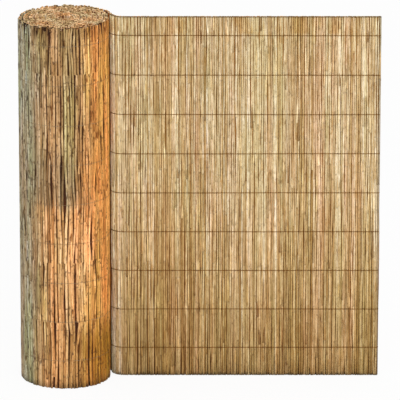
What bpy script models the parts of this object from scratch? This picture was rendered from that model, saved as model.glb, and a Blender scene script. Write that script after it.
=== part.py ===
# Reed screening roll: a mat of reeds bound with rows of wire, standing on its
# end with a stretch of the mat unrolled to one side. Run it with
# blender --background --python part.py, or from Blender's text editor.

import math

import bmesh
import bpy

# Driving dimensions, in metres and degrees
mat_height = 1.5  # length of the reeds
mat_length = 6.0  # along the wires, rolled and unrolled stretch together
mat_thickness = 0.020  # reeds lie about three deep
unrolled_length = 1.09  # stretch of mat that stands free of the roll
bore_radius = 0.009  # hollow in the middle of the roll
turn_gap = 0.0025  # slack between two turns
bend_radius = 0.050  # middle of the mat, where it turns away from the roll
stretch_offset = 0.0  # flat stretch behind the roll's axis

reed_pitch = 0.009  # one reed beside the next
flute_depth = 0.0024  # hollow between two reeds on the mat's faces
crest_share = 0.6  # part of a reed's width that its flat crest takes
end_rounding = 0.006  # corners of the mat's free edge
turn_groove_depth = 0.030  # how deep the turns show on the roll's ends
turn_groove_side = 0.00025  # turn gap left as reeds on each side of the groove

wire_rows = 9
wire_diameter = 0.0016
top_row_inset = 0.077  # top row below the reeds' upper ends
bottom_row_inset = 0.119  # bottom row above their lower ends
wire_seat = 0.0003  # wire clear of the reeds' crests
strand_room = 0.0006  # between the two strands where the mat meets the roll
seam_gap = 0.0003  # last rolled reed to first unrolled reed

# Facets
bore_sides = 16
groove_step = math.radians(15)
wire_step = math.radians(10)
corner_steps = 3
cutter_overrun = 0.01  # cutters run past the face that they open
groove_overrun = 0.05  # radians past the groove's mouth at the roll's outside

# Sizes that follow from the driving ones
turn_pitch = mat_thickness + turn_gap
first_radius = bore_radius + mat_thickness / 2
rolled_length = mat_length - unrolled_length
turns = (math.sqrt(first_radius**2 + turn_pitch * rolled_length / math.pi) - first_radius) / turn_pitch
full_travel = 2 * math.pi * turns
last_radius = first_radius + turn_pitch * turns  # middle of the mat where it leaves
roll_radius = last_radius + mat_thickness / 2
leave_angle = math.asin((stretch_offset + bend_radius) / (last_radius + bend_radius))
bend_angle = math.pi / 2 - leave_angle
bend_length = bend_radius * bend_angle


def polar(radius, angle):
    return radius * math.cos(angle), radius * math.sin(angle)


def face_radius(travel, lift):
    """Radius of the wound mat, lift above its inner face, after a travel in radians."""
    return bore_radius + turn_pitch * travel / (2 * math.pi) + lift


def wound_point(travel, lift):
    """The mat winds clockwise outwards, seen from above, and leaves at leave_angle."""
    return polar(face_radius(travel, lift), leave_angle + full_travel - travel)


def stretch_point(along, side):
    """A point of the unrolled stretch: along it from the roll, side behind its middle."""
    if along < bend_length:
        facing = leave_angle + along / bend_radius
        beyond = 0.0
    else:
        facing = math.pi / 2
        beyond = along - bend_length
    centre_x, centre_y = polar(last_radius + bend_radius, leave_angle)
    arm_x, arm_y = polar(bend_radius - side, facing)
    return centre_x - arm_x + beyond, centre_y - arm_y


def flutes(count):
    """Shares of a row of reeds, each with True on a crest and False in a hollow."""
    shoulder = (1 - crest_share) / 2
    for reed in range(count):
        yield reed / count, False
        yield (reed + shoulder) / count, True
        yield (reed + 1 - shoulder) / count, True
    yield 1.0, False


def roll_outline():
    """Outer face of the last turn, reed by reed, and the step where the mat leaves."""
    count = round(2 * math.pi * (roll_radius - turn_pitch / 2) / reed_pitch)
    points = []
    for share, crest in flutes(count):
        lift = mat_thickness if crest else mat_thickness - flute_depth
        points.append(wound_point(full_travel - 2 * math.pi * share, lift))
    return points


def bore_outline():
    """The mat's inner edge is bent round on itself and leaves only this hollow."""
    return [polar(bore_radius, 2 * math.pi * side / bore_sides) for side in range(bore_sides)]


def turn_groove_outline():
    """The gap between the turns, from the mat's inner edge to the last turn's step."""
    travels = spread(0.0, full_travel - 2 * math.pi + groove_overrun, groove_step)
    inner = [wound_point(travel, mat_thickness + turn_groove_side) for travel in travels]
    outer = [wound_point(travel, turn_pitch - turn_groove_side) for travel in travels]
    return inner + outer[::-1]


def corner(centre_x, centre_y, radius, start, end):
    """A rounded corner's points, between two angles."""
    points = []
    for step in range(corner_steps + 1):
        x, y = polar(radius, start + (end - start) * step / corner_steps)
        points.append((centre_x + x, centre_y + y))
    return points


def stretch_end(lift):
    """Free edge of the mat from its front face to its back face, lifted off it."""
    end_x, middle_y = stretch_point(unrolled_length, 0.0)
    inset = mat_thickness / 2 - end_rounding
    front = corner(end_x - end_rounding, middle_y - inset, end_rounding + lift, -math.pi / 2, 0.0)
    back = corner(end_x - end_rounding, middle_y + inset, end_rounding + lift, 0.0, math.pi / 2)
    return front + back


def stretch_outline():
    """Both faces of the unrolled stretch, reed by reed, and its rounded free edge."""
    fluted_length = unrolled_length - end_rounding - seam_gap
    count = round(fluted_length / reed_pitch)
    front = []
    back = []
    for share, crest in flutes(count):
        half = mat_thickness / 2 if crest else mat_thickness / 2 - flute_depth
        along = seam_gap + fluted_length * share
        front.append(stretch_point(along, -half))
        back.append(stretch_point(along, half))
    # The last hollow on each face gives way to the rounded edge
    return front[:-1] + stretch_end(0.0) + back[-2::-1]


def nip_angle():
    """How far round the bend both strands of a wire find room between mat and roll."""
    reach = last_radius + bend_radius
    face = bend_radius + mat_thickness / 2
    room = 2 * (wire_diameter + wire_seat) + strand_room
    target = roll_radius - turn_pitch + room
    return math.acos(min(1.0, (reach**2 + face**2 - target**2) / (2 * reach * face)))


def spread(start, end, step):
    """Even steps from start to end, none longer than step, both ends included."""
    count = max(1, math.ceil(abs(end - start) / step))
    return [start + (end - start) * index / count for index in range(count + 1)]


def wire_route():
    """One row's wire: along the front face, round the free edge, along the back face
    and round the outside of the roll. Both ends go on between the turns, unseen."""
    lift = wire_seat + wire_diameter / 2
    over_chord = 1 / math.cos(wire_step / 2)  # keeps straight chords off a convex face
    nip = nip_angle()
    front_radius = (bend_radius + mat_thickness / 2 + lift) * over_chord
    route = []
    for turned in spread(nip, bend_angle, wire_step):
        route.append(stretch_point(turned * bend_radius, bend_radius - front_radius))
    route += stretch_end(lift)
    for turned in spread(bend_angle, 0.0, wire_step)[:-1]:
        route.append(stretch_point(turned * bend_radius, mat_thickness / 2 + lift))
    nip_x, nip_y = stretch_point(nip * bend_radius, -mat_thickness / 2)
    last = 2 * math.pi + math.atan2(nip_y, nip_x) - leave_angle
    for turned in spread(0.0, last, wire_step):
        radius = (face_radius(full_travel - turned, mat_thickness) + lift) * over_chord
        route.append(polar(radius, leave_angle + turned))
    return route


def finish_material(name, colour, roughness, metallic):
    material = bpy.data.materials.new(name)
    material.use_nodes = True
    shader = material.node_tree.nodes["Principled BSDF"]
    shader.inputs["Base Color"].default_value = (*colour, 1.0)
    shader.inputs["Roughness"].default_value = roughness
    shader.inputs["Metallic"].default_value = metallic
    return material


def add_object(name, data, material, carrier):
    placed = bpy.data.objects.new(name, data)
    if material:
        data.materials.append(material)
    placed.parent = carrier
    bpy.context.scene.collection.objects.link(placed)
    return placed


def prism(name, outline, bottom, top, material, carrier):
    """The outline raised into a solid between two heights."""
    mesh = bpy.data.meshes.new(name)
    shape = bmesh.new()
    floor = shape.faces.new([shape.verts.new((x, y, bottom)) for x, y in outline])
    raised = bmesh.ops.extrude_face_region(shape, geom=[floor], use_keep_orig=True)
    lifted = [part for part in raised["geom"] if isinstance(part, bmesh.types.BMVert)]
    bmesh.ops.translate(shape, vec=(0.0, 0.0, top - bottom), verts=lifted)
    bmesh.ops.recalc_face_normals(shape, faces=shape.faces)
    shape.to_mesh(mesh)
    shape.free()
    return add_object(name, mesh, material, carrier)


def cut(target, cutter):
    cutter.hide_render = True
    cutter.display_type = "WIRE"
    boolean = target.modifiers.new(cutter.name, "BOOLEAN")
    boolean.operation = "DIFFERENCE"
    boolean.solver = "EXACT"
    boolean.object = cutter


def rolled_reeds(material, carrier):
    """The wound turns as one solid, with their bore, and grooves between the turns."""
    roll = prism("rolled_reeds", roll_outline(), 0.0, mat_height, material, carrier)
    below = -cutter_overrun
    above = mat_height + cutter_overrun
    cut(roll, prism("bore_cutter", bore_outline(), below, above, None, carrier))
    groove = turn_groove_outline()
    upper_floor = mat_height - turn_groove_depth
    cut(roll, prism("top_groove_cutter", groove, upper_floor, above, None, carrier))
    cut(roll, prism("bottom_groove_cutter", groove, below, turn_groove_depth, None, carrier))
    return roll


def tie_wire(row, route, material, carrier):
    """One row's wire as a round rod along its route; row 1 is the top one."""
    row_spacing = (mat_height - top_row_inset - bottom_row_inset) / (wire_rows - 1)
    height = mat_height - top_row_inset - row_spacing * (row - 1)
    curve = bpy.data.curves.new(f"tie_wire_{row}", "CURVE")
    curve.dimensions = "3D"
    curve.bevel_depth = wire_diameter / 2
    curve.bevel_resolution = 1
    curve.use_fill_caps = True
    spline = curve.splines.new("POLY")
    spline.points.add(len(route) - 1)
    for point, (x, y) in zip(spline.points, route):
        point.co = (x, y, height, 1.0)
    return add_object(curve.name, curve, material, carrier)


def clear_scene():
    for old in list(bpy.data.objects):
        bpy.data.objects.remove(old, do_unlink=True)


def middle_of(values):
    return (min(values) + max(values)) / 2


def main():
    clear_scene()
    reed = finish_material("dried_reed", (0.55, 0.38, 0.19), 0.7, 0.0)
    pale_reed = finish_material("pale_reed", (0.60, 0.46, 0.27), 0.7, 0.0)
    iron = finish_material("annealed_wire", (0.16, 0.12, 0.09), 0.5, 0.8)

    # The winding is drawn round its own axis, and the axis is then moved so that
    # the origin lies under the middle of the whole part's box.
    route = wire_route()
    axis = bpy.data.objects.new("roll_axis", None)
    axis.location = (-middle_of([x for x, y in route]), -middle_of([y for x, y in route]), 0.0)
    bpy.context.scene.collection.objects.link(axis)

    rolled_reeds(reed, axis)
    prism("unrolled_reeds", stretch_outline(), 0.0, mat_height, pale_reed, axis)
    for row in range(1, wire_rows + 1):
        tie_wire(row, route, iron, axis)
    bpy.context.view_layer.update()


main()
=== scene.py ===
import math
from functools import partialmethod

import bmesh
import bpy
import numpy as np
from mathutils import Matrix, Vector


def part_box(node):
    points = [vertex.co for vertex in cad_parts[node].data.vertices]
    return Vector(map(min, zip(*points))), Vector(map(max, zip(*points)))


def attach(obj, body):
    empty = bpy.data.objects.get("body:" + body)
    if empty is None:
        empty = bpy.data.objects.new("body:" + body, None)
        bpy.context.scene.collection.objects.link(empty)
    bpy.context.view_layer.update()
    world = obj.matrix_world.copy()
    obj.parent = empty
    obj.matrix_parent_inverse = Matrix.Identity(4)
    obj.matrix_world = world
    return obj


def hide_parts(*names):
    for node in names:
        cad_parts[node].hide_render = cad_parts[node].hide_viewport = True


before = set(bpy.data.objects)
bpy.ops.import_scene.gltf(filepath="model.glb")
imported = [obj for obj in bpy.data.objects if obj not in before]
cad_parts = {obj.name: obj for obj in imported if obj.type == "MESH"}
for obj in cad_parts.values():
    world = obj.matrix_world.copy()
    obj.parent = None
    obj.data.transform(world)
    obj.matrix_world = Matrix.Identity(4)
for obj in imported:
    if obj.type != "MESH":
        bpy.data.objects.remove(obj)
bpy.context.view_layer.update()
print("Frame loaded")

# The mat's own sizes, as the CAD winds it
mat = {
    "thickness": 0.020,
    "turnGap": 0.0025,  # slack between two turns
    "boreRadius": 0.009,
    "length": 6.0,
    "unrolled": 1.09,  # stretch that stands free of the roll
    "bendRadius": 0.050,  # where the mat leaves the roll
    "wireRows": 9,
}
turnPitch = mat["thickness"] + mat["turnGap"]
halfMat = mat["thickness"] / 2
firstRadius = mat["boreRadius"] + halfMat
rolledLength = mat["length"] - mat["unrolled"]
turns = (math.sqrt(firstRadius**2 + turnPitch * rolledLength / math.pi) - firstRadius) / turnPitch
fullTravel = 2 * math.pi * turns
lastRadius = firstRadius + turnPitch * turns
bendReach = lastRadius + mat["bendRadius"]  # from the roll's axis to the bend's
leaveAngle = math.asin(mat["bendRadius"] / bendReach)
bendLength = mat["bendRadius"] * (math.pi / 2 - leaveAngle)
lastTurnLength = 2 * math.pi * (lastRadius - turnPitch / 2)

rollLow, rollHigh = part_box("rolled_reeds")
matHeight = rollHigh.z - rollLow.z
floorHeight = rollLow.z
rowBoxes = [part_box(f"tie_wire_{row}") for row in range(mat["wireRows"], 0, -1)]
rowHeights = np.array([(low.z + high.z) / 2 for low, high in rowBoxes])  # lowest first
rowSpacing = float(rowHeights[1] - rowHeights[0])

# The roll's axis lies where the CAD roll's left and front sides put it
aroundRoll = np.linspace(0.0, 2 * math.pi, 721)
turnShare = ((aroundRoll - leaveAngle) % (2 * math.pi)) / (2 * math.pi)
rollFace = lastRadius + halfMat - turnPitch * turnShare
axisX = rollLow.x - float((rollFace * np.cos(aroundRoll)).min())
axisY = rollLow.y - float((rollFace * np.sin(aroundRoll)).min())


def matPlace(along, side):
    # along runs down the middle of the mat from where it leaves the roll, and is below 0
    # in the wound part; side is 0 in the middle and above 0 towards the roll's outside
    wound = np.maximum(along + rolledLength, 0.0)
    grown = np.sqrt(firstRadius**2 + turnPitch * wound / math.pi) - firstRadius
    travel = grown * 2 * math.pi / turnPitch
    angle = leaveAngle + fullTravel - travel
    radius = firstRadius + turnPitch * travel / (2 * math.pi) + side
    facing = leaveAngle + np.clip(along, 0.0, bendLength) / mat["bendRadius"]
    arm = mat["bendRadius"] - side
    straight = np.maximum(along - bendLength, 0.0)
    freeX = bendReach * math.cos(leaveAngle) - arm * np.cos(facing) + straight
    freeY = bendReach * math.sin(leaveAngle) - arm * np.sin(facing)
    x = axisX + np.where(along < 0, radius * np.cos(angle), freeX)
    y = axisY + np.where(along < 0, radius * np.sin(angle), freeY)
    return x, y


def addObject(name, data):
    made = bpy.data.objects.new(name, data)
    bpy.context.scene.collection.objects.link(made)
    return made


def linear(colour):
    # a colour as the screen shows it, from 0 to 255, turned into Blender's light values
    shares = np.array(colour, float) / 255
    return tuple(np.where(shares <= 0.04045, shares / 12.92, ((shares + 0.055) / 1.055) ** 2.4))


# Where a reed is darker it loses most of its blue: powers of red, green and blue
warmth = (1.0, 1.25, 1.8)


# Shader maths

# Noise patterns: blotches to a metre across a stem and along it, detail, and a shift
patterns = {
    "stretchStem": (100.0, 1.0, 1.0, 9.0),
    "rollStem": (75.0, 1.5, 1.0, 9.0),
    "rollEdge": (9.0, 2.5, 3.0, 0.0),
    "mould": (70.0, 18.0, 3.0, 41.0),
    "hue": (20.0, 2.0, 2.0, 7.0),
    "mottle": (38.0, 3.0, 1.0, 15.0),
    "fibre": (420.0, 10.0, 3.0, 0.0),
    "blotch": (110.0, 30.0, 3.0, 3.0),
    "grain": (330.0, 95.0, 1.0, 5.0),
    # painted shadow dashes
    "shadowDashes": (170.0, 24.0, 4.0, 19.0),
    "damp": (48.0, 12.0, 2.0, 33.0),
    "specks": (140.0, 60.0, 4.0, 11.0),
    "tips": (11.0, 3.0, 3.0, 27.0),
    "cutHue": (15.0, 15.0, 2.0, 7.0),
    "cutGrain": (300.0, 300.0, 2.0, 0.0),
    "cutShade": (26.0, 26.0, 2.0, 21.0),
    "rust": (90.0, 90.0, 3.0, 0.0),
}


class Signal:
    # the value of one socket; arithmetic on it adds Math nodes
    def __init__(self, nodes, socket):
        self.nodes = nodes
        self.socket = socket

    def maths(self, operation, other, swapped=False):
        first, second = (other, self) if swapped else (self, other)
        return self.nodes.add("Math", {"operation": operation}, {0: first, 1: second})

    __add__ = partialmethod(maths, "ADD")
    __sub__ = partialmethod(maths, "SUBTRACT")
    __rsub__ = partialmethod(maths, "SUBTRACT", swapped=True)
    __mul__ = partialmethod(maths, "MULTIPLY")
    __truediv__ = partialmethod(maths, "DIVIDE")


class Nodes:
    # a node tree, built up node by node
    def __init__(self, tree):
        self.tree = tree

    def plug(self, socket, value):
        if isinstance(value, Signal):
            self.tree.links.new(value.socket, socket)
        elif hasattr(value, "__len__") and socket.type == "RGBA" and len(value) == 3:
            socket.default_value = (*value, 1.0)
        else:
            socket.default_value = value

    def add(self, kind, settings=None, sockets=None, output=0):
        node = self.tree.nodes.new("ShaderNode" + kind)
        for name, value in (settings or {}).items():
            if name == "stops":
                ramp = node.color_ramp.elements
                while len(ramp) < len(value):
                    ramp.new(1.0)
                for stop, (place, colour) in zip(ramp, value):
                    stop.position = place
                    stop.color = (*colour, 1.0)
            else:
                setattr(node, name, value)
        for name, value in (sockets or {}).items():
            self.plug(node.inputs[name], value)
        return Signal(self, node.outputs[output])

    def rays(self, kinds):
        return [self.add("LightPath", output=f"Is {kind} Ray") for kind in kinds]


class Finish(Nodes):
    # a material with a Principled shader
    def __init__(self, name, roughness, specular, metallic=0.0):
        self.material = bpy.data.materials.new(name)
        self.material.use_nodes = True
        super().__init__(self.material.node_tree)
        self.shader = self.tree.nodes["Principled BSDF"]
        self.shader.inputs["Roughness"].default_value = roughness
        self.shader.inputs["Metallic"].default_value = metallic
        self.shader.inputs["Specular IOR Level"].default_value = specular

    def mix(self, first, second, factor, blend="MIX"):
        settings = {"data_type": "RGBA", "blend_type": blend}
        return self.add("Mix", settings, {0: factor, 6: first, 7: second}, output=2)

    def step(self, value, start, end):
        # 0 at start and 1 at end, eased
        settings = {"interpolation_type": "SMOOTHSTEP"}
        return self.add("MapRange", settings, {0: value, 1: start, 2: end})

    def place(self):
        return self.add("TexCoord", output="Object")

    def axis(self, name):
        return self.add("SeparateXYZ", sockets={0: self.place()}, output=name)

    def noise(self, name):
        # about 0.25 to 0.75
        across, along, detail, shift = patterns[name]
        sockets = {"Vector": self.place(), "Location": (shift,) * 3, "Scale": (across, across, along)}
        moved = self.add("Mapping", sockets=sockets)
        return self.add("TexNoise", sockets={"Vector": moved, "Scale": 1.0, "Detail": detail})

    def mark(self, name):
        return self.step(self.noise(name), *reedMarks[name])

    def attribute(self, name, output="Fac"):
        return self.add("Attribute", {"attribute_name": name}, output=output)

    def scaled(self, colour, factor):
        # a colour times a number that varies over the surface
        settings = {"operation": "SCALE"}
        return self.add("VectorMath", settings, {0: colour, "Scale": factor})

    def shaded(self, colour, pattern, strength):
        # lighter and darker by a noise, warmer where it is darker
        darker = tuple(1.0 - strength * power for power in warmth)
        lighter = tuple(1.0 + strength * power for power in warmth)
        return self.mix(colour, self.mix(darker, lighter, pattern * 2.0 - 0.5), 1.0, "MULTIPLY")

    def hued(self, colour, pattern, look):
        # pinker where the noise is high and greener where it is low
        colour = self.mix(colour, look["pink"], self.step(pattern, 0.50, 0.64), "MULTIPLY")
        return self.mix(colour, look["green"], self.step(pattern, 0.50, 0.36), "MULTIPLY")

    def done(self, colour, roughness=None, bump=None, bumpDepth=0.0):
        self.plug(self.shader.inputs["Base Color"], colour)
        if roughness is not None:
            self.plug(self.shader.inputs["Roughness"], roughness)
        if bump is not None:
            sockets = {"Strength": 0.5, "Distance": bumpDepth, "Height": bump}
            self.plug(self.shader.inputs["Normal"], self.add("Bump", sockets=sockets))
        return self.material


# Reed finishes

stretchLook = {
    "heights": [0.0, 0.25, 0.55, 0.8, 1.0],  # shares of the mat's height
    "colours": [(181, 148, 92), (210, 176, 121), (228, 203, 157), (225, 201, 157), (221, 196, 150)],
    "byStem": 1.2,  # how far up or down one stem's colours slide
    # painted light: paler beside the roll, where the roll shades the bend
    "paintedLightBesideRoll": (255, 240, 204),
    "paintedLightReach": (0.030, 0.015),  # where that painted light begins, and is full
    "pink": (1.03, 0.975, 0.98),  # multiplies the colour
    "green": (0.98, 1.00, 0.94),
    "mottle": 0.07,  # how strong each pattern is
    "fibre": 0.12,
    "blotch": 0.20,
    "grain": 0.08,
    "gap": (0.30, 0.16, 0.04),  # what the painted shade in a gap leaves of the colour, at the foot
    "topGapShade": (0.58, 0.39, 0.16),
    "ring": 0.30,  # how dark the nodes are
    "speck": 0.25,
    "shadowDash": 0.45,  # short dark marks along the stems: painted shadows of slots between them
    "damp": (0.80, 0.70, 0.55),  # what mildew leaves of the colour
    "rowStainAndShade": 0.24,  # rust stain and painted contact shadow along the wire rows
    "tipDarkening": 0.55,  # darker at the tips
    "footDarkening": 0.65,  # darker towards the foot, rising from it
    "footReach": 0.030,
    "tips": (0.90, 0.80, 0.62),  # of brown patches above the top wire row
    "tipReach": 0.014,  # over this height they come in
}
rollLook = {
    "tan": (200, 168, 117),
    "dusk": (178, 150, 107),  # just above the pale half
    "orange": (232, 165, 87),
    "pale": (235, 188, 127),
    "grey": (181, 166, 134),
    "greyTop": (184, 177, 149),
    "brown": (177, 121, 37),
    "mould": (74, 62, 40),  # patches on the damp side
    "pink": (1.09, 0.95, 0.90),
    "green": (0.93, 1.01, 0.87),
    "mottle": 0.04,
    "fibre": 0.34,
    "blotch": 0.17,
    "grain": 0.12,
    # painted shade in the gaps between stems, at the foot and at the top
    "gap": (0.10, 0.040, 0.006),
    "topGapShade": (0.10, 0.040, 0.006),
    "ring": 0.55,
    "speck": 0.70,
    "shadowDash": 0.75,
    "damp": (0.38, 0.26, 0.14),
    "rowStainAndShade": 0.09,
    "tipDarkening": 0.35,
    "footDarkening": 0.40,
    "footReach": 0.045,
    "tips": (0.62, 0.47, 0.28),
    "tipReach": 0.075,
}
innerLook = dict(
    rollLook, tan=(222, 186, 144), pink=(1.14, 0.95, 0.80), green=(0.88, 0.98, 0.94),
    # the gap colours here are painted shade between the stems
    gap=(0.26, 0.15, 0.06), topGapShade=(0.26, 0.15, 0.06), ring=0.2, speck=0.2, shadowDash=0.2,
    tipDarkening=0.0, footDarkening=0.0, tips=(1.0, 1.0, 1.0),
)

# Where one of the roll's colours gives way to the next: height is a share of the mat's, and
# across is -1 at the roll's left side and 1 at its right
rollEdges = {
    "dusk": ("height", 0.69, 0.62),
    "pale": ("height", 0.535, 0.485),
    "orange": ("across", 0.18, 0.70),
    "brownLow": ("height", 0.215, 0.12),
    "brownRight": ("across", -0.5, 0.9),
    "grey": ("across", -0.38, -0.78),
    "greyTop": ("height", 0.62, 0.84),
    "back": ("across", 1.2, 2.4),  # the free stretch's back is tan again
}
rollBlend = {
    "raggedAcross": 0.5,  # how unevenly the colours meet
    "raggedHeight": 0.05,
    "stemHeight": 0.10,
    "mould": 0.75,
    "back": 0.8,
}
# Marks on the reeds: where in its pattern each comes in, and is full
reedMarks = {
    # painted shadows of slots between stems
    "shadowDashes": (0.60, 0.66),
    "damp": (0.61, 0.69),
    "blotch": (0.38, 0.55),  # damp spots are broken up by this
    "specks": (0.62, 0.67),
    "tips": (0.47, 0.60),
    "mould": (0.575, 0.645),
}
# stains, and painted shadow along the wire rows
stainsAndShade = {
    "dark": (76, 46, 22),  # colour of specks and nodes
    "fromRow": (0.0036, 0.0010),  # where the rust stain and painted shadow along a wire row begin, and are full
    "fromTip": (0.006, 0.001),
    "footFull": 0.016,
    "footRagged": 0.03,
}
cutLook = {"tint": 0.8, "grain": 0.12, "shade": 0.45}  # strengths on a sawn end


def stretchZones(finish):
    byStem = finish.noise("stretchStem") - 0.5
    height = finish.axis("Z") / matHeight + byStem * stretchLook["byStem"]
    ramp = zip(stretchLook["heights"], stretchLook["colours"])
    stops = [(share, linear(colour)) for share, colour in ramp]
    colour = finish.add("ValToRGB", {"stops": stops}, {0: height})
    # painted light: paler near the roll, over the bend that the roll shades
    start, full = stretchLook["paintedLightReach"]
    paintedLightNearRoll = finish.step(finish.axis("X"), rollHigh.x + start, rollHigh.x + full)
    return finish.mix(colour, linear(stretchLook["paintedLightBesideRoll"]), paintedLightNearRoll)


def rollZones(finish):
    ragged = finish.noise("rollEdge") - 0.5
    byStem = finish.noise("rollStem") - 0.5
    across = (finish.axis("X") - axisX) / ((rollHigh.x - rollLow.x) / 2)
    height = finish.axis("Z") / matHeight + ragged * rollBlend["raggedHeight"]
    places = {
        "across": across + ragged * rollBlend["raggedAcross"],
        "height": height + byStem * rollBlend["stemHeight"],
    }

    def tone(name):
        return linear(rollLook[name])

    def over(name):
        axis, start, end = rollEdges[name]
        return finish.step(places[axis], start, end)

    colour = tone("tan")
    for name in ("dusk", "pale", "orange"):
        colour = finish.mix(colour, tone(name), over(name))
    colour = finish.mix(colour, tone("brown"), over("brownLow") * over("brownRight"))
    grey = finish.mix(tone("grey"), tone("greyTop"), over("greyTop"))
    grey = finish.mix(grey, tone("mould"), finish.mark("mould") * rollBlend["mould"])
    colour = finish.mix(colour, grey, over("grey"))
    return finish.mix(colour, tone("tan"), over("back") * rollBlend["back"])


def innerZones(finish):
    return linear(innerLook["tan"])


def reedFinish(name, zones, look):
    finish = Finish(name, roughness=0.6, specular=0.25)
    colour = finish.hued(zones(finish), finish.noise("hue"), look)
    colour = finish.mix(colour, finish.attribute("tint", "Color"), 1.0, "MULTIPLY")
    shades = {key: finish.noise(key) for key in ("mottle", "fibre", "blotch", "grain")}
    for key, pattern in shades.items():
        colour = finish.shaded(colour, pattern, look[key])
    # short dashes in the painted gap shade's colour: painted shadows of slots between stems
    colour = finish.mix(colour, look["gap"], finish.mark("shadowDashes") * look["shadowDash"], "MULTIPLY")
    colour = finish.mix(colour, look["damp"], finish.mark("damp") * finish.mark("blotch"), "MULTIPLY")
    dark = linear(stainsAndShade["dark"])
    colour = finish.mix(colour, dark, finish.mark("specks") * look["speck"])
    colour = finish.mix(colour, dark, finish.attribute("ring") * look["ring"])
    # rust stain and painted contact shadow along each wire row
    fromLowest = (finish.axis("Z") - float(rowHeights[0])) / rowSpacing
    fromRow = finish.add("Math", {"operation": "PINGPONG"}, {0: fromLowest, 1: 0.5})
    rowStainAndShadeColour = tuple(1.0 - look["rowStainAndShade"] * power for power in warmth)
    byRow = finish.step(fromRow * rowSpacing, *stainsAndShade["fromRow"])
    colour = finish.mix(colour, rowStainAndShadeColour, byRow, "MULTIPLY")
    height = finish.axis("Z") - floorHeight
    # darker towards the tips
    start, full = stainsAndShade["fromTip"]
    tips = finish.step(height, matHeight - start, matHeight - full)
    colour = finish.scaled(colour, 1.0 - tips * look["tipDarkening"])
    # darker towards the foot, with a ragged edge
    fromFoot = height + shades["blotch"] * stainsAndShade["footRagged"]
    foot = finish.step(fromFoot, look["footReach"], stainsAndShade["footFull"])
    colour = finish.scaled(colour, 1.0 - foot * look["footDarkening"])
    aboveRows = finish.step(height - float(rowHeights[-1] - floorHeight), 0.0, look["tipReach"])
    colour = finish.mix(colour, look["tips"], aboveRows * finish.mark("tips"), "MULTIPLY")
    # painted shade in the gaps: darker the deeper a surface lies below the mat's face, less dark towards
    # the top
    gap = finish.mix(look["gap"], look["topGapShade"], height / matHeight)
    colour = finish.mix(colour, gap, finish.attribute("deep"), "MULTIPLY")
    fibre = shades["fibre"]
    return finish.done(colour, roughness=fibre * 0.3 + 0.45, bump=fibre, bumpDepth=0.0004)


def cutFinish(name, rim, hollowShade):
    # a sawn end: pale wall and a hollow, dark with painted shade or filled with pale pith
    finish = Finish(name, roughness=0.8, specular=0.2)
    colour = finish.hued(linear(rim), finish.noise("cutHue"), innerLook)
    colour = finish.mix(colour, finish.attribute("tint", "Color"), cutLook["tint"], "MULTIPLY")
    grain = finish.noise("cutGrain")
    colour = finish.shaded(colour, grain, cutLook["grain"])
    colour = finish.shaded(colour, finish.noise("cutShade"), cutLook["shade"])
    # painted shade deep in an empty hollow
    colour = finish.mix(colour, linear(hollowShade), finish.attribute("hollow"))
    return finish.done(colour, bump=grain, bumpDepth=0.0003)


# Reeds: one template for each kind, copied along the mat and joined

def templateOf(shape, **perVertex):
    # what joinedCopies needs of a finished bmesh
    shape.verts.index_update()
    faces = [[vert.index for vert in face.verts] for face in shape.faces]
    starts = [face.index(min(face)) for face in faces]
    faces = [face[start:] + face[:start] for face, start in zip(faces, starts)]
    faces.sort()  # bmesh's own starts and order differ from run to run
    sizes = np.array([len(face) for face in faces])
    return dict(perVertex, corners=np.concatenate(faces), sizes=sizes, faces=faces)


def edgesAmong(shape, verts):
    return [edge for edge in shape.edges if edge.verts[0] in verts and edge.verts[1] in verts]


def reedTemplate(sides, levels, wall=0.55):
    # a closed stem of unit radius; its rings are (level, radius, depth below the cut)
    rings = [(0, wall, 1.0), (0, wall, 0.0), (0, 1.0, 0.0)]
    rings += [(level, 1.0, 0.0) for level in range(1, levels - 1)]
    rings += [(levels - 1, 1.0, 0.0), (levels - 1, wall, 0.0), (levels - 1, wall, -1.0)]
    shape = bmesh.new()
    newest = bmesh.ops.create_circle(shape, cap_ends=True, segments=sides, radius=1.0)["verts"]
    for number in range(len(rings)):
        if number:
            made = bmesh.ops.extrude_edge_only(shape, edges=edgesAmong(shape, newest))["geom"]
            newest = [part for part in made if isinstance(part, bmesh.types.BMVert)]
        newest = set(newest)
        for vert in newest:
            vert.co.z = number
    bmesh.ops.edgeloop_fill(shape, edges=edgesAmong(shape, newest))
    bmesh.ops.recalc_face_normals(shape, faces=shape.faces)
    number = np.array([round(vert.co.z) for vert in shape.verts])
    level, radius, depth = [np.array(column)[number] for column in zip(*rings)]
    across = np.array([vert.co[:2] for vert in shape.verts]) * radius[:, None]
    template = templateOf(shape, level=level, across=across, depth=depth, hollow=np.abs(depth))
    outside = range(2, len(rings) - 2)
    onCut = [not all(number[vert] in outside for vert in face) for face in template["faces"]]
    template["slots"] = np.array(onCut, int)  # 0 for the stem and 1 for its sawn ends
    shape.free()
    return template


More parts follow.
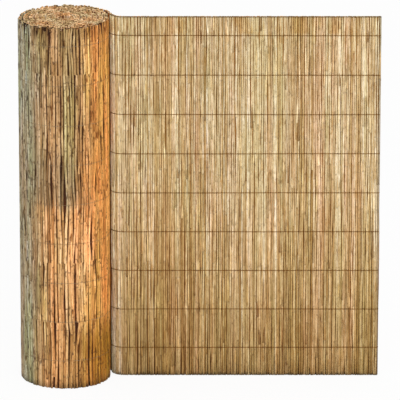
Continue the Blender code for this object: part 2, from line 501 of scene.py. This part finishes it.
def joinedCopies(name, template, points, attributes, materials):
    # points is copies by vertices by 3; attributes are the same, by 1 or 3
    copies, size = points.shape[:2]
    mesh = bpy.data.meshes.new(name)
    corners = (template["corners"][None, :] + np.arange(copies)[:, None] * size).ravel()
    sizes = np.tile(template["sizes"], copies)
    mesh.vertices.add(copies * size)
    mesh.vertices.foreach_set("co", points.astype(np.float32).ravel())
    mesh.loops.add(len(corners))
    mesh.loops.foreach_set("vertex_index", corners.astype(np.int32))
    mesh.polygons.add(len(sizes))
    mesh.polygons.foreach_set("loop_start", (np.cumsum(sizes) - sizes).astype(np.int32))
    mesh.polygons.foreach_set("material_index", np.tile(template["slots"], copies).astype(np.int32))
    mesh.polygons.foreach_set("use_smooth", np.tile(template["slots"] == 0, copies))
    mesh.update(calc_edges=True)
    for key, values in attributes.items():
        if values.ndim == 3:
            layer = mesh.attributes.new(key, "FLOAT_COLOR", "POINT")
            padded = np.concatenate([values, np.ones((*values.shape[:2], 1))], axis=2)
            layer.data.foreach_set("color", padded.astype(np.float32).ravel())
        else:
            layer = mesh.attributes.new(key, "FLOAT", "POINT")
            layer.data.foreach_set("value", values.astype(np.float32).ravel())
    for material in materials:
        mesh.materials.append(material)
    return addObject(name, mesh)


def settle(piece, slot, *nodes):
    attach(piece, "root")
    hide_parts(*nodes)
    return piece


# Layers through the mat's thickness. The face is -1 for the side that is wound inwards,
# which the free stretch shows the viewer, and 1 for the roll's outside, where the last turn
# has thicker stems. Room is how much of its own width a stem takes: below 1 no light comes
# through. Spread is how unevenly they stand.
layers = {
    "inside": {"face": -1, "radius": (0.0028, 0.0048), "room": 0.99, "spread": 0.08, "seed": 11},
    "middle": {"face": 0, "radius": (0.0029, 0.0037), "room": 0.72, "spread": 0.04, "seed": 12},
    "outside": {"face": 1, "radius": (0.0030, 0.0047), "room": 1.12, "spread": 0.16, "seed": 13},
    "lastTurn": {"face": 1, "radius": (0.0034, 0.0060), "room": 1.06, "spread": 0.13, "seed": 13},
}
stem = {
    "footWidth": 1.06,  # times its own radius
    "taper": 0.14,  # how much of that is gone at the tip
    "nodes": 8,
    "nodeSpread": 0.32,  # share of the space between two
    "nodeReach": 0.005,  # half the length of a stem's swelling
    "swelling": 0.12,
    "rowReach": 0.004,  # stems bend this close to the wire that holds them
    "kinkReach": 0.0012,
    "kinkFade": 0.09,  # back in line this far from a kink
    "splitFade": 0.016,  # the same beside a split
    "spareRings": 14,
    "spareSpan": (0.02, 0.98),  # shares of the stem's height
    "straightEnd": 0.01,  # a stem's ends stay straight
    "evened": 0.03,  # so that no two rings coincide
    "mostRagged": 0.012,  # the most that an uneven end is off
    "mostFeet": 0.008,
    "shorterBy": (0.003, 0.022),
    "hollow": (0.004, 0.012),  # depth in a sawn end
    "shade": 0.05,  # how much stems differ, and the limits
    "shadeLimits": (0.78, 1.25),
    "patchLimits": (0.6, 1.4),
    "sheathRoom": 0.0010,  # kept free outside the stems for their leaf sheaths
    "middlePlay": 0.001,  # of the middle layer's stems
    "edgeRoom": 0.002,  # at both edges of each part of the mat
    "gapDepth": 0.011,  # this far in, the painted shade of a gap is at its darkest
    "samples": 1000,  # to a metre, when stems are packed
}
driftWaves = {
    "count": 7,
    "alongMat": (2.0, 18.0),  # waves to a metre
    "upStems": (0.3, 2.2),
    "fullWave": 8.0,  # waves to a metre that push as far as a way's drift
}

# Tints multiply the zone's colour: how often each turns up, and its red, green and blue
stretchTints = [
    (0.34, (1.00, 1.00, 1.00)), (0.19, (1.03, 1.07, 1.15)), (0.07, (1.09, 1.14, 1.25)),
    (0.12, (1.02, 0.96, 0.97)), (0.08, (0.98, 1.01, 0.96)), (0.15, (0.88, 0.80, 0.67)),
    (0.05, (0.72, 0.61, 0.44)),
]
rollTints = [
    (0.36, (1.00, 1.00, 1.00)), (0.22, (1.10, 1.12, 1.15)), (0.14, (1.04, 0.97, 0.94)),
    (0.10, (0.97, 1.01, 0.94)), (0.13, (0.83, 0.78, 0.70)), (0.05, (0.66, 0.58, 0.47)),
]
innerTints = [
    (0.30, (1.00, 1.00, 1.00)), (0.25, (1.12, 1.12, 1.12)), (0.25, (0.88, 0.83, 0.76)),
    (0.20, (0.70, 0.61, 0.50)),
]
sheathTints = [
    (0.40, (1.24, 1.24, 1.20)), (0.25, (1.05, 0.95, 0.84)), (0.20, (0.82, 0.80, 0.74)),
    (0.15, (0.58, 0.48, 0.38)),
]

# Wide splits in the roll's front: across, share of the height, reach, opening and lean
longSplits = [
    (-0.29, 0.571, 0.080, 0.0060, 0.02), (0.01, 0.515, 0.105, 0.0066, 0.03),
    (0.39, 0.690, 0.085, 0.0060, 0.06), (0.08, 0.705, 0.060, 0.0052, 0.04),
    (-0.16, 0.650, 0.045, 0.0054, 0.02), (0.64, 0.577, 0.050, 0.0046, 0.03),
    (0.19, 0.563, 0.055, 0.0052, 0.02), (0.50, 0.650, 0.045, 0.0052, 0.05),
    (-0.08, 0.600, 0.050, 0.0048, 0.03), (0.27, 0.960, 0.055, 0.0050, -0.02),
    (-0.32, 0.975, 0.040, 0.0048, 0.0), (-0.55, 0.900, 0.050, 0.0044, 0.0),
    (-0.76, 0.925, 0.028, 0.0044, 0.0), (-0.24, 0.195, 0.035, 0.0042, 0.0),
    (0.01, 0.160, 0.050, 0.0042, 0.0), (0.23, 0.185, 0.040, 0.0042, 0.0),
    (-0.86, 0.440, 0.045, 0.0054, 0.0),
]

# How the stems of each part of the mat lie
fineWay = {
    "seed": 1,
    "rings": 0,  # along a stem; 0 is as many as its nodes and the wire rows need
    "ragged": 0.0007,  # how unevenly the tops end, and the feet
    "feet": 0.0004,
    "shorter": 0.0,  # share of stems that end a little lower
    "brokenTops": 0.006,  # share of stems that have broken off
    "brokenFeet": 0.006,
    "shortest": 0.95,  # share of the height that those keep at least
    "missing": 0.0,  # share of stems that have fallen out
    "drift": 0.0010,  # how far neighbours wander aside together
    "shift": 0.0008,  # how far each is off at a wire row
    "bow": 0.0010,  # and between two rows
    "lean": 0.0016,
    "kinks": (),  # heights at which the stems step aside
    "kink": 0.0,
    "slots": [
        {"perArea": 260, "opening": (0.0003, 0.0014), "reach": (0.012, 0.05), "between": (0.0, 1.0)},
    ],
    "slotFade": 0.010,  # how far beside a slot stems give way
    "splits": [],
    "uneven": 0.0012,  # how far under the mat's face they lie
    "dips": 0.20,  # share of stems that sink in somewhere, and at the top
    "topDips": 0.0,
    "dip": 0.0036,
    "dipReach": (0.010, 0.05),
    "tints": stretchTints,
    "patch": 0.09,  # how much a stem's tint changes at its nodes
    "alike": 0.26,  # how often a stem looks like the one before it
}
backWay = dict(fineWay, seed=2, drift=0.0012, tints=rollTints)
underWay = dict(
    fineWay, seed=3, rings=8, brokenTops=0.0, brokenFeet=0.0, shift=0.0002, bow=0.0002, lean=0.0,
    slots=[], dips=0.0, alike=0.8,
)
rollWay = dict(
    fineWay, seed=4, ragged=0.0035, feet=0.0020, shorter=0.40, brokenTops=0.015, shortest=0.93,
    drift=0.0013, shift=0.0010, bow=0.0012, lean=0.0021, kinks=(0.278, 0.527, 1.305), kink=0.0016,
    slots=[
        {"perArea": 800, "opening": (0.0005, 0.0021), "reach": (0.014, 0.055), "between": (0.0, 1.0)},
        {"perArea": 60, "opening": (0.0022, 0.0036), "reach": (0.045, 0.120), "between": (0.14, 0.78)},
    ],
    slotFade=0.006, splits=longSplits, uneven=0.0022, dips=0.16, topDips=0.35, dip=0.0050,
    dipReach=(0.012, 0.070), tints=rollTints, patch=0.14, alike=0.05,
)
rollUnderWay = dict(
    rollWay, seed=5, rings=8, brokenTops=0.04, brokenFeet=0.0, shortest=0.96, shift=0.0003, bow=0.0003,
    lean=0.0, slots=[], splits=[], dips=0.0, topDips=0.0,
)
rollInnerWay = dict(
    rollUnderWay, seed=6, rings=2, ragged=0.0020, shorter=0.0, brokenTops=0.10, shortest=0.985,
    missing=0.05, drift=0.0012, tints=innerTints,
)


def packReeds(rng, layer, start, end, missing):
    # reeds side by side along their own face of the mat
    side = layer["face"] * (halfMat - sum(layer["radius"]) / 2)
    samples = np.linspace(start, end, int((end - start) * stem["samples"]) + 2)
    x, y = matPlace(samples, side)
    run = np.concatenate([[0.0], np.cumsum(np.hypot(np.diff(x), np.diff(y)))])
    count = int(run[-1] / sum(layer["radius"]) / layer["room"])
    radius = rng.uniform(*layer["radius"], count)
    reach = np.cumsum(2 * radius * rng.uniform(1.0 - layer["spread"], 1.0 + layer["spread"], count))
    middles = (reach - radius) * run[-1] / reach[-1]
    kept = rng.random(count) >= missing
    return np.interp(middles, run, samples)[kept], radius[kept]


def drawShades(rng, spread, size, limits):
    # factors for red, green and blue, warmer where they are darker
    return rng.normal(1.0, spread, size).clip(*limits) ** np.array(warmth)


def drawTints(rng, count, tints, alike=0.0):
    shares = np.array([share for share, colour in tints])
    colours = np.array([colour for share, colour in tints])
    chosen = colours[rng.choice(len(tints), count, p=shares / shares.sum())]
    fresh = np.where(rng.random(count) < alike, 0, np.arange(count))
    chosen = chosen[np.maximum.accumulate(fresh)]
    return chosen * drawShades(rng, stem["shade"], (count, 1), stem["shadeLimits"])


def reedEnds(rng, count, way):
    # most stems run the mat's whole height, some are broken
    def uneven(spread, most):
        return np.abs(rng.normal(0.0, spread, count)).clip(0.0, most)

    def broken(share):
        # most of these lose little
        lost = matHeight * (1.0 - way["shortest"])
        return (rng.random(count) < share) * lost * rng.uniform(0.1, 1.0, count) ** 1.5

    bottom = floorHeight + uneven(way["feet"], stem["mostFeet"])
    top = floorHeight + matHeight - uneven(way["ragged"], stem["mostRagged"])
    top = top - (rng.random(count) < way["shorter"]) * rng.uniform(*stem["shorterBy"], count)
    top = top - broken(way["brokenTops"])
    bottom = bottom + broken(way["brokenFeet"])
    return bottom, top


def reedRings(rng, bottom, top, rings, kinks):
    # heights of each stem's rings, a mark of 1 amid each node, and the nodes' heights
    count = len(top)
    bottom, top = bottom[:, None], top[:, None]
    even = (np.arange(stem["nodes"]) + 0.5) / stem["nodes"]
    off = rng.uniform(-stem["nodeSpread"], stem["nodeSpread"], (count, stem["nodes"]))
    nodes = bottom + (top - bottom) * (even + off / stem["nodes"])
    if rings:
        return bottom + (top - bottom) * np.linspace(0.0, 1.0, rings), np.zeros((count, rings)), nodes
    reach = stem["nodeReach"]
    byNode = np.stack([nodes - reach, nodes, nodes + reach], axis=2).reshape(count, -1)
    bends = np.concatenate([rowHeights, kinks])
    reaches = np.repeat([stem["rowReach"], stem["kinkReach"]], [len(rowHeights), len(kinks)])
    byRow = np.concatenate([bends - reaches, bends + reaches])
    spare = rng.uniform(*stem["spareSpan"], (count, len(byRow) + stem["spareRings"]))
    spare = bottom + (top - bottom) * spare
    held = (byRow > bottom + stem["straightEnd"]) & (byRow < top - stem["straightEnd"])
    byRow = np.where(held, byRow, spare[:, :len(byRow)])
    heights = np.concatenate([bottom, byNode, byRow, spare[:, byRow.shape[1]:], top], axis=1)
    marks = np.zeros_like(heights)
    marks[:, 2:2 + byNode.shape[1]:3] = 1.0  # the second of each node's three rings
    order = np.argsort(heights, axis=1)
    heights = np.take_along_axis(heights, order, axis=1)
    evenly = bottom + (top - bottom) * np.linspace(0.0, 1.0, heights.shape[1])
    heights = heights * (1.0 - stem["evened"]) + evenly * stem["evened"]
    return heights, np.take_along_axis(marks, order, axis=1), nodes


def drifted(rng, places, heights, size):
    # a smooth push sideways that neighbours share
    push = np.zeros_like(heights)
    for wave in range(driftWaves["count"]):
        alongMat = rng.uniform(*driftWaves["alongMat"])
        upStems = rng.uniform(*driftWaves["upStems"])
        waves = alongMat * places[:, None] + upStems * heights
        phase = rng.uniform(0.0, 2 * math.pi)
        push += np.sin(2 * math.pi * waves + phase) * driftWaves["fullWave"] / alongMat
    return push * size / math.sqrt(driftWaves["count"])


def heldByRows(rng, heights, way):
    # each stem is held at the wire rows, bows between them and may kink
    anchors = np.concatenate([[floorHeight], rowHeights, [floorHeight + matHeight]])
    held = rng.normal(0.0, way["shift"], (len(heights), len(anchors)))
    push = np.stack([np.interp(rings, anchors, places) for rings, places in zip(heights, held)])
    bay = np.searchsorted(rowHeights, heights)
    share = (heights - anchors[bay]) / (anchors[bay + 1] - anchors[bay])
    bows = rng.normal(0.0, way["bow"], (len(heights), len(rowHeights) + 1))
    push += np.take_along_axis(bows, bay, axis=1) * np.sin(math.pi * share)
    for kink in way["kinks"]:
        above = heights - floorHeight - kink
        jump = rng.normal(0.0, way["kink"], (len(heights), 1))
        push += jump * np.tanh(above / stem["kinkReach"] * 2) * np.exp(-np.abs(above) / stem["kinkFade"])
    return push


def rollFront(across):
    # where along the mat its last turn faces the viewer at this place across the roll
    turn = np.linspace(-lastTurnLength, 0.0, 2001)
    x, y = matPlace(turn, halfMat)
    apart = np.abs(x - axisX - across * (rollHigh.x - rollLow.x) / 2)
    return turn[np.argmin(np.where(y < axisY, apart, 1.0))]


def parted(rng, places, heights, start, end, way):
    # slots and splits, where neighbouring stems stand apart
    push = np.zeros_like(heights)
    for kind in way["slots"]:
        lowest, highest = np.array(kind["between"]) * matHeight
        for slot in range(int(kind["perArea"] * (end - start) * (highest - lowest))):
            beside = places[:, None] - rng.uniform(start, end)
            above = heights - floorHeight - rng.uniform(lowest, highest)
            opening = rng.uniform(*kind["opening"])
            opening = opening * np.exp(-((above / rng.uniform(*kind["reach"])) ** 2))
            push += np.sign(beside) * opening * np.exp(-np.abs(beside) / way["slotFade"])
    for across, share, reach, opening, lean in way["splits"]:
        above = heights - floorHeight - share * matHeight
        beside = places[:, None] - rollFront(across) - lean * above
        opening = opening * np.exp(-((above / reach) ** 2))
        push += np.sign(beside) * opening * np.exp(-np.abs(beside) / stem["splitFade"])
    return push


def dipped(rng, heights, way):
    # some stems sink into the mat, in three places at most and at the top
    dips = np.zeros_like(heights)
    anywhere, atTop = (0.0, matHeight), (matHeight - 0.03, matHeight)
    for share, span in ((way["dips"], anywhere),) * 3 + ((way["topDips"], atTop),):
        sinks = (rng.random(len(heights)) < share)[:, None]
        above = heights - floorHeight - rng.uniform(*span, (len(heights), 1))
        reach = rng.uniform(*way["dipReach"], (len(heights), 1))
        dips += way["dip"] * sinks * np.exp(-((above / reach) ** 2))
    return dips.clip(0.0, way["dip"])


def layReeds(layerName, start, end, way):
    layer = layers[layerName]
    rng = np.random.default_rng(layer["seed"] * 1000 + way["seed"])
    places, radius = packReeds(rng, layer, start, end, way["missing"])
    count = len(places)
    bottom, top = reedEnds(rng, count, way)
    heights, marks, nodes = reedRings(rng, bottom, top, way["rings"], way["kinks"])
    shares = (heights - floorHeight) / matHeight
    along = places[:, None] + drifted(rng, places, heights, way["drift"])
    if way["rings"] != 2:
        along = along + heldByRows(rng, heights, way) + parted(rng, places, heights, start, end, way)
        along = along + rng.normal(0.0, way["lean"], (count, 1)) * (shares - 0.5)
    width = radius[:, None] * (stem["footWidth"] - stem["taper"] * shares)
    width = width * (1 + stem["swelling"] * marks)
    crest = halfMat - stem["sheathRoom"] - rng.uniform(0.0, way["uneven"], (count, 1))
    side = layer["face"] * (crest - width - dipped(rng, heights, way))
    if layer["face"] == 0:
        side = side + rng.uniform(-stem["middlePlay"], stem["middlePlay"], (count, 1))
    breaks = np.concatenate([nodes, np.tile(floorHeight + np.array(way["kinks"]), (count, 1))], axis=1)
    between = (heights[:, :, None] > breaks[:, None, :]).sum(axis=2)
    patches = drawShades(rng, way["patch"], (count, breaks.shape[1] + 1, 1), stem["patchLimits"])
    tints = drawTints(rng, count, way["tints"], way["alike"])[:, None, :]
    return {
        "along": along.clip(start + stem["edgeRoom"], end - stem["edgeRoom"]), "side": side,
        "width": width, "height": heights, "marks": marks, "nodes": nodes,
        "tint": tints * patches[np.arange(count)[:, None], between],
        "hollow": rng.uniform(*stem["hollow"], count), "empty": rng.uniform(0.0, 1.0, count) ** 1.5,
        "face": layer["face"], "rng": rng,
    }


def gapShadeOf(side, face):
    # painted shade of the gaps: 0 at the mat's face and 1 where it is darkest; the middle layer is all
    # in it
    if face == 0:
        return np.ones_like(side)
    inwards = (halfMat - stem["sheathRoom"] - side * face) / stem["gapDepth"]
    return inwards.clip(0.0, 1.0) ** 1.5


def growReeds(name, reeds, sides, materials):
    template = reedTemplate(sides, reeds["along"].shape[1])
    level = template["level"]
    across = template["across"]
    along = reeds["along"][:, level] + across[:, 0] * reeds["width"][:, level]
    side = reeds["side"][:, level] + across[:, 1] * reeds["width"][:, level]
    x, y = matPlace(along, side)
    z = reeds["height"][:, level] + template["depth"] * reeds["hollow"][:, None]
    attributes = {
        "tint": reeds["tint"][:, level],
        "ring": reeds["marks"][:, level],
        # how far each vertex lies in the painted gap shade
        "deep": gapShadeOf(side, reeds["face"]),
        # where the painted shade in an empty hollow lies
        "hollow": template["hollow"] * reeds["empty"][:, None],
    }
    return joinedCopies(name, template, np.stack([x, y, z], axis=2), attributes, materials)


# Leaf sheaths: dry scraps round the stems above their nodes
sheath = {
    "onFront": 300,  # how many there are on each part
    "onBack": 160,
    "onRoll": 380,
    "columns": 3,  # faces of one scrap
    "rows": 4,
    "wrap": (0.9, 1.7),  # half the angle that it covers, in radians
    "turn": 0.5,  # away from the mat's face
    "length": (0.04, 0.15),
    "topRoom": 0.001,  # it ends this far below its stem
    "narrowing": 0.65,  # share of the wrap that is gone at the tip
    "notch": 0.25,  # how much shorter its sides are than its middle
    "clearance": 0.0001,
    "lift": (0.0001, 0.0006),  # how far the tip stands off the stem
    "thickness": 0.0002,
}


def sheathTemplate():
    # a thin closed strip: u is -1 to 1 across, v 0 to 1 along, w 0 inside and 1 outside
    shape = bmesh.new()
    bmesh.ops.create_grid(shape, x_segments=sheath["columns"], y_segments=sheath["rows"], size=1.0)
    bmesh.ops.solidify(shape, geom=shape.faces[:], thickness=0.5)
    bmesh.ops.recalc_face_normals(shape, faces=shape.faces)
    places = np.array([vert.co[:] for vert in shape.verts])
    outer = (places[:, 2] > places[:, 2].mean()).astype(float)
    template = templateOf(shape, u=places[:, 0], v=(places[:, 1] + 1) / 2, w=outer)
    template["slots"] = np.zeros(len(template["sizes"]), int)
    shape.free()
    return template


def growSheaths(name, reeds, count, materials):
    template = sheathTemplate()
    u, v, w = template["u"], template["v"], template["w"]
    rng = reeds["rng"]
    chosen = rng.integers(0, len(reeds["height"]), count)
    foot = reeds["nodes"][chosen, rng.integers(0, stem["nodes"], count)]
    length = rng.uniform(*sheath["length"], count)
    wrap = rng.uniform(*sheath["wrap"], count)
    lift = rng.uniform(*sheath["lift"], count)
    turn = rng.normal(0.0, sheath["turn"], count)
    height = foot[:, None] + length[:, None] * v * (1.0 - sheath["notch"] * np.abs(u))
    height = np.minimum(height, reeds["height"][chosen, -1:] - sheath["topRoom"])

    def read(key):
        # a stem's own value at the heights of its scrap
        stems = zip(height, reeds["height"][chosen], reeds[key][chosen])
        return np.stack([np.interp(z, rings, values) for z, rings, values in stems])

    angle = reeds["face"] * math.pi / 2 + turn[:, None]
    angle = angle + u * wrap[:, None] * (1.0 - sheath["narrowing"] * v**2)
    reach = read("width") + sheath["clearance"] + sheath["thickness"] * w + lift[:, None] * v**2
    side = read("side") + reach * np.sin(angle)
    x, y = matPlace(read("along") + reach * np.cos(angle), side)
    tints = drawTints(rng, count, sheathTints)
    attributes = {
        "tint": np.repeat(tints[:, None, :], len(u), axis=1),
        "ring": np.zeros_like(side),
        # how far each vertex lies in the painted gap shade
        "deep": gapShadeOf(side, reeds["face"]),
    }
    return joinedCopies(name, template, np.stack([x, y, height], axis=2), attributes, materials)


stretchReed = reedFinish("stretchReed", stretchZones, stretchLook)
rollReed = reedFinish("rollReed", rollZones, rollLook)
# the free stretch's sawn ends are painted dark: painted shade along its top edge
shadedStretchCut = cutFinish("shadedStretchCut", rim=(128, 98, 60), hollowShade=(60, 38, 20))
innerReed = reedFinish("innerReed", innerZones, innerLook)
rollCut = cutFinish("rollCut", rim=(252, 214, 158), hollowShade=(130, 88, 50))
stretchBoth = [stretchReed, shadedStretchCut]
rollBoth = [rollReed, rollCut]

freeEnd = mat["unrolled"]
startGap = 0.004  # kept free where the mat leaves the roll
frontReeds = layReeds("inside", startGap, freeEnd, fineWay)
backReeds = layReeds("outside", startGap, freeEnd, backWay)
middleReeds = layReeds("middle", startGap, freeEnd, underWay)
frontReeds["tint"][-1] *= 0.5  # the stem at the free edge is darkened: painted edge shade
stretchPieces = [
    growReeds("stretch_front_reeds", frontReeds, 6, stretchBoth),
    growReeds("stretch_back_reeds", backReeds, 8, rollBoth),
    growReeds("stretch_middle_reeds", middleReeds, 6, stretchBoth),
    growSheaths("stretch_front_sheaths", frontReeds, sheath["onFront"], [stretchReed]),
    growSheaths("stretch_back_sheaths", backReeds, sheath["onBack"], [rollReed]),
]
for piece in stretchPieces:
    settle(piece, "pale_reed", "unrolled_reeds")
print("Free stretch laid")

outerReeds = layReeds("lastTurn", -lastTurnLength, -startGap, rollWay)
rollPieces = [
    growReeds("roll_outer_reeds", outerReeds, 8, rollBoth),
    growSheaths("roll_outer_sheaths", outerReeds, sheath["onRoll"], [rollReed]),
]
for layerName in ("middle", "inside"):
    under = layReeds(layerName, -lastTurnLength, -startGap, rollUnderWay)
    rollPieces.append(growReeds(f"roll_{layerName}_reeds", under, 6, rollBoth))
for layerName in ("inside", "middle", "outside"):
    inner = layReeds(layerName, startGap - rolledLength, -lastTurnLength, rollInnerWay)
    rollPieces.append(growReeds(f"inner_{layerName}_reeds", inner, 6, [innerReed, rollCut]))
for piece in rollPieces:
    settle(piece, "dried_reed", "rolled_reeds")
print("Roll wound")


# Tie wires

wires = {
    "frontRadius": 0.0008,
    "outerRadius": 0.0005,  # of the strand round the roll
    "press": 0.0003,  # how far a wire sinks into the reeds
    "sag": 0.0012,  # how far it dips between two reeds
    "mostProud": 0.0003,  # past the mat's face
    "wander": 0.0002,  # up and down, from reed to reed
    "mostWander": 0.001,
    "edgeInset": 0.0008,  # of the turn round the free edge
    "edgeReach": 0.006,
    "stitchRadius": 0.0006,
    "stitchEvery": 0.032,
    "stitchGaps": (0.6, 1.5),  # times stitchEvery
    "mostStitches": 400,
    "stitchLength": 0.006,
    "stitchTurns": 1.5,
    "stitchSteps": 9,
    "stitchGrip": 0.8,  # how far out a stitch lies, in its own radii
    "plainEnd": 0.02,  # no stitch is nearer to the free edge
    "seed": 500,
}
upwards = np.array([0.0, 0.0, 1.0])


def wireFinish(name, colour, rust, metallic):
    finish = Finish(name, roughness=0.55, specular=0.15, metallic=metallic)
    patches = finish.noise("rust")
    mixed = finish.mix(linear(colour), linear(rust), finish.step(patches, 0.42, 0.6))
    return finish.done(mixed, roughness=patches * 0.4 + 0.35, bump=patches, bumpDepth=0.0001)


def tubes(name, paths, radius, sides, towards, materials):
    # paths is copies by points by 3; no path may run along towards
    template = reedTemplate(sides, paths.shape[1], wall=0.5)
    level = template["level"]
    ahead = np.gradient(paths, axis=1)
    ahead /= np.linalg.norm(ahead, axis=2, keepdims=True)
    first = np.cross(towards, ahead)
    first /= np.linalg.norm(first, axis=2, keepdims=True)
    second = np.cross(ahead, first)
    across = template["across"] * radius
    points = paths[:, level] + first[:, level] * across[:, :1] + second[:, level] * across[:, 1:]
    template["slots"] = np.zeros_like(template["slots"])
    return joinedCopies(name, template, points, {}, materials)


def strand(reeds, height, radius, rng):
    # the middle line of a wire that lies on each reed's crest at this height
    rows = [row for row, rings in enumerate(reeds["height"]) if rings[0] < height < rings[-1]]

    def read(key):
        return np.array([np.interp(height, reeds["height"][row], reeds[key][row]) for row in rows])

    along = read("along")
    out = np.abs(read("side")) + read("width") + radius - wires["press"]
    order = np.argsort(along)
    along, out = along[order], out[order]
    near = np.maximum(np.roll(out, 1), np.roll(out, -1)) - wires["sag"]
    out = np.minimum(np.maximum(out, near), halfMat + radius + wires["mostProud"])
    along = np.maximum.accumulate(along + np.arange(len(along)) * 1e-6)
    x, y = matPlace(along, out * reeds["face"])
    z = height + np.cumsum(rng.normal(0.0, wires["wander"], len(x))) * 0.5
    z = height + (z - z.mean()).clip(-wires["mostWander"], wires["mostWander"])
    return np.stack([x, y, z], axis=1)


def stitches(points, radius, rng):
    # short helices wound round a strand, at uneven places
    gaps = rng.uniform(*wires["stitchGaps"], wires["mostStitches"]) * wires["stitchEvery"]
    run = np.concatenate([[0.0], np.cumsum(np.linalg.norm(np.diff(points, axis=0), axis=1))])
    centres = np.cumsum(gaps)
    centres = centres[centres < run[-1] - wires["plainEnd"]]
    here = np.linspace(-0.5, 0.5, wires["stitchSteps"]) * wires["stitchLength"]
    here = centres[:, None] + here
    spine = np.stack([np.interp(here, run, points[:, axis]) for axis in range(3)], axis=2)
    ahead = spine[:, -1:] - spine[:, :1]
    level = np.cross(ahead / np.linalg.norm(ahead, axis=2, keepdims=True), upwards)
    turned = np.linspace(0.0, 2 * math.pi * wires["stitchTurns"], wires["stitchSteps"])
    phase = (turned + rng.uniform(0.0, 2 * math.pi, (len(centres), 1)))[:, :, None]
    return spine + (np.cos(phase) * upwards + np.sin(phase) * level) * radius


def joinPieces(name, pieces):
    # one mesh from several of one material each, in order
    shape = bmesh.new()
    materials = []
    for piece in pieces:
        start = len(shape.faces)
        shape.from_mesh(piece.data)
        shape.faces.ensure_lookup_table()
        material = piece.data.materials[0]
        if material not in materials:
            materials.append(material)
        for face in shape.faces[start:]:
            face.material_index = materials.index(material)
        bpy.data.objects.remove(piece)
    mesh = bpy.data.meshes.new(name)
    shape.to_mesh(mesh)
    shape.free()
    for material in materials:
        mesh.materials.append(material)
    return addObject(name, mesh)


darkWire = wireFinish("darkWire", colour=(134, 84, 18), rust=(100, 56, 8), metallic=0.05)
dullWire = wireFinish("dullWire", colour=(176, 160, 134), rust=(150, 116, 78), metallic=0.4)

for row in range(1, mat["wireRows"] + 1):
    rng = np.random.default_rng(wires["seed"] + row)
    height = float(rowHeights[mat["wireRows"] - row])
    front = strand(frontReeds, height, wires["frontRadius"], rng)
    back = strand(backReeds, height, wires["frontRadius"], rng)
    outer = strand(outerReeds, height, wires["outerRadius"], rng)
    edge = np.full(2, freeEnd + wires["frontRadius"] - wires["edgeInset"])
    x, y = matPlace(edge, np.array([-wires["edgeReach"], wires["edgeReach"]]))
    edgeTurn = np.stack([x, y, np.full(2, height)], axis=1)
    loop = np.concatenate([front, edgeTurn, back[::-1]])
    tied = stitches(front, wires["frontRadius"] + wires["stitchRadius"] * wires["stitchGrip"], rng)
    wirePieces = [
        tubes("strand", loop[None], wires["frontRadius"], 6, upwards, [darkWire]),
        tubes("strand", outer[None], wires["outerRadius"], 6, upwards, [dullWire]),
        tubes("stitch", tied, wires["stitchRadius"], 4, (1.0, 0.0, 0.0), [darkWire]),
    ]
    settle(joinPieces(f"tied_row_{row}", wirePieces), "annealed_wire", f"tie_wire_{row}")
print("Wires tied")


# Studio and camera

studio = {
    "floorSize": 120.0,
    "floorColour": (0.94, 0.94, 0.94),
    "floorGlow": 0.92,  # share of the floor's white that no shadow touches
    "worldLight": 0.80,
    "keyPlace": (1.8, -8.0, 6.0),
    "keySize": 4.0,
    "keyPower": 260.0,
}
view = {
    "aim": (0.0034, 0.0, 0.737),
    "distance": 20.91,
    "elevation": 17.0,
    "lens": 469.6,
    "sensor": 36.0,
    "farthest": 200.0,
}


def makeFloor():
    shape = bmesh.new()
    bmesh.ops.create_grid(shape, x_segments=1, y_segments=1, size=studio["floorSize"] / 2)
    bmesh.ops.translate(shape, vec=(0.0, 0.0, floorHeight), verts=shape.verts)
    mesh = bpy.data.meshes.new("floor")
    shape.to_mesh(mesh)
    shape.free()
    finish = Finish("paleFloor", roughness=1.0, specular=0.0)
    mesh.materials.append(finish.done(studio["floorColour"]))
    # camera, mirror and glass rays see plain white
    camera, mirror, glass = finish.rays(("Camera", "Glossy", "Transmission"))
    seen = finish.add("Math", {"use_clamp": True}, {0: camera + mirror, 1: glass})
    sockets = {
        0: seen * studio["floorGlow"],
        1: Signal(finish, finish.shader.outputs[0]),
        2: finish.add("Emission", sockets={"Color": (1.0, 1.0, 1.0), "Strength": 1.0}),
    }
    blended = finish.add("MixShader", sockets=sockets)
    finish.plug(finish.tree.nodes["Material Output"].inputs["Surface"], blended)
    addObject("floor", mesh)


def makeLight():
    # the world is plain white to camera and mirror rays, and a little dimmer as light
    world = bpy.data.worlds.new("studio")
    world.use_nodes = True
    bpy.context.scene.world = world
    nodes = Nodes(world.node_tree)
    camera, mirror = nodes.rays(("Camera", "Glossy"))
    sockets = {"Value": camera.maths("MAXIMUM", mirror), "To Min": studio["worldLight"]}
    background = nodes.tree.nodes["Background"]
    nodes.plug(background.inputs["Color"], (1.0, 1.0, 1.0))
    nodes.plug(background.inputs["Strength"], nodes.add("MapRange", sockets=sockets))
    lamp = bpy.data.lights.new("key", "AREA")
    lamp.size = studio["keySize"]
    lamp.energy = studio["keyPower"]
    key = addObject("key", lamp)
    key.location = studio["keyPlace"]
    aim = np.array(view["aim"]) - np.array(studio["keyPlace"])
    key.rotation_euler = Vector(aim).to_track_quat("-Z", "Y").to_euler()


def makeCamera():
    lens = bpy.data.cameras.new("camera")
    lens.lens = view["lens"]
    lens.sensor_width = view["sensor"]
    lens.clip_end = view["farthest"]
    camera = addObject("camera", lens)
    tilt = math.radians(view["elevation"])
    aimX, aimY, aimZ = view["aim"]
    back = view["distance"] * math.cos(tilt)
    camera.location = (aimX, aimY - back, aimZ + view["distance"] * math.sin(tilt))
    camera.rotation_euler = (math.pi / 2 - tilt, 0.0, 0.0)
    bpy.context.scene.camera = camera


makeFloor()
makeLight()
makeCamera()
bpy.context.scene.view_settings.view_transform = "Standard"
print("Studio set")
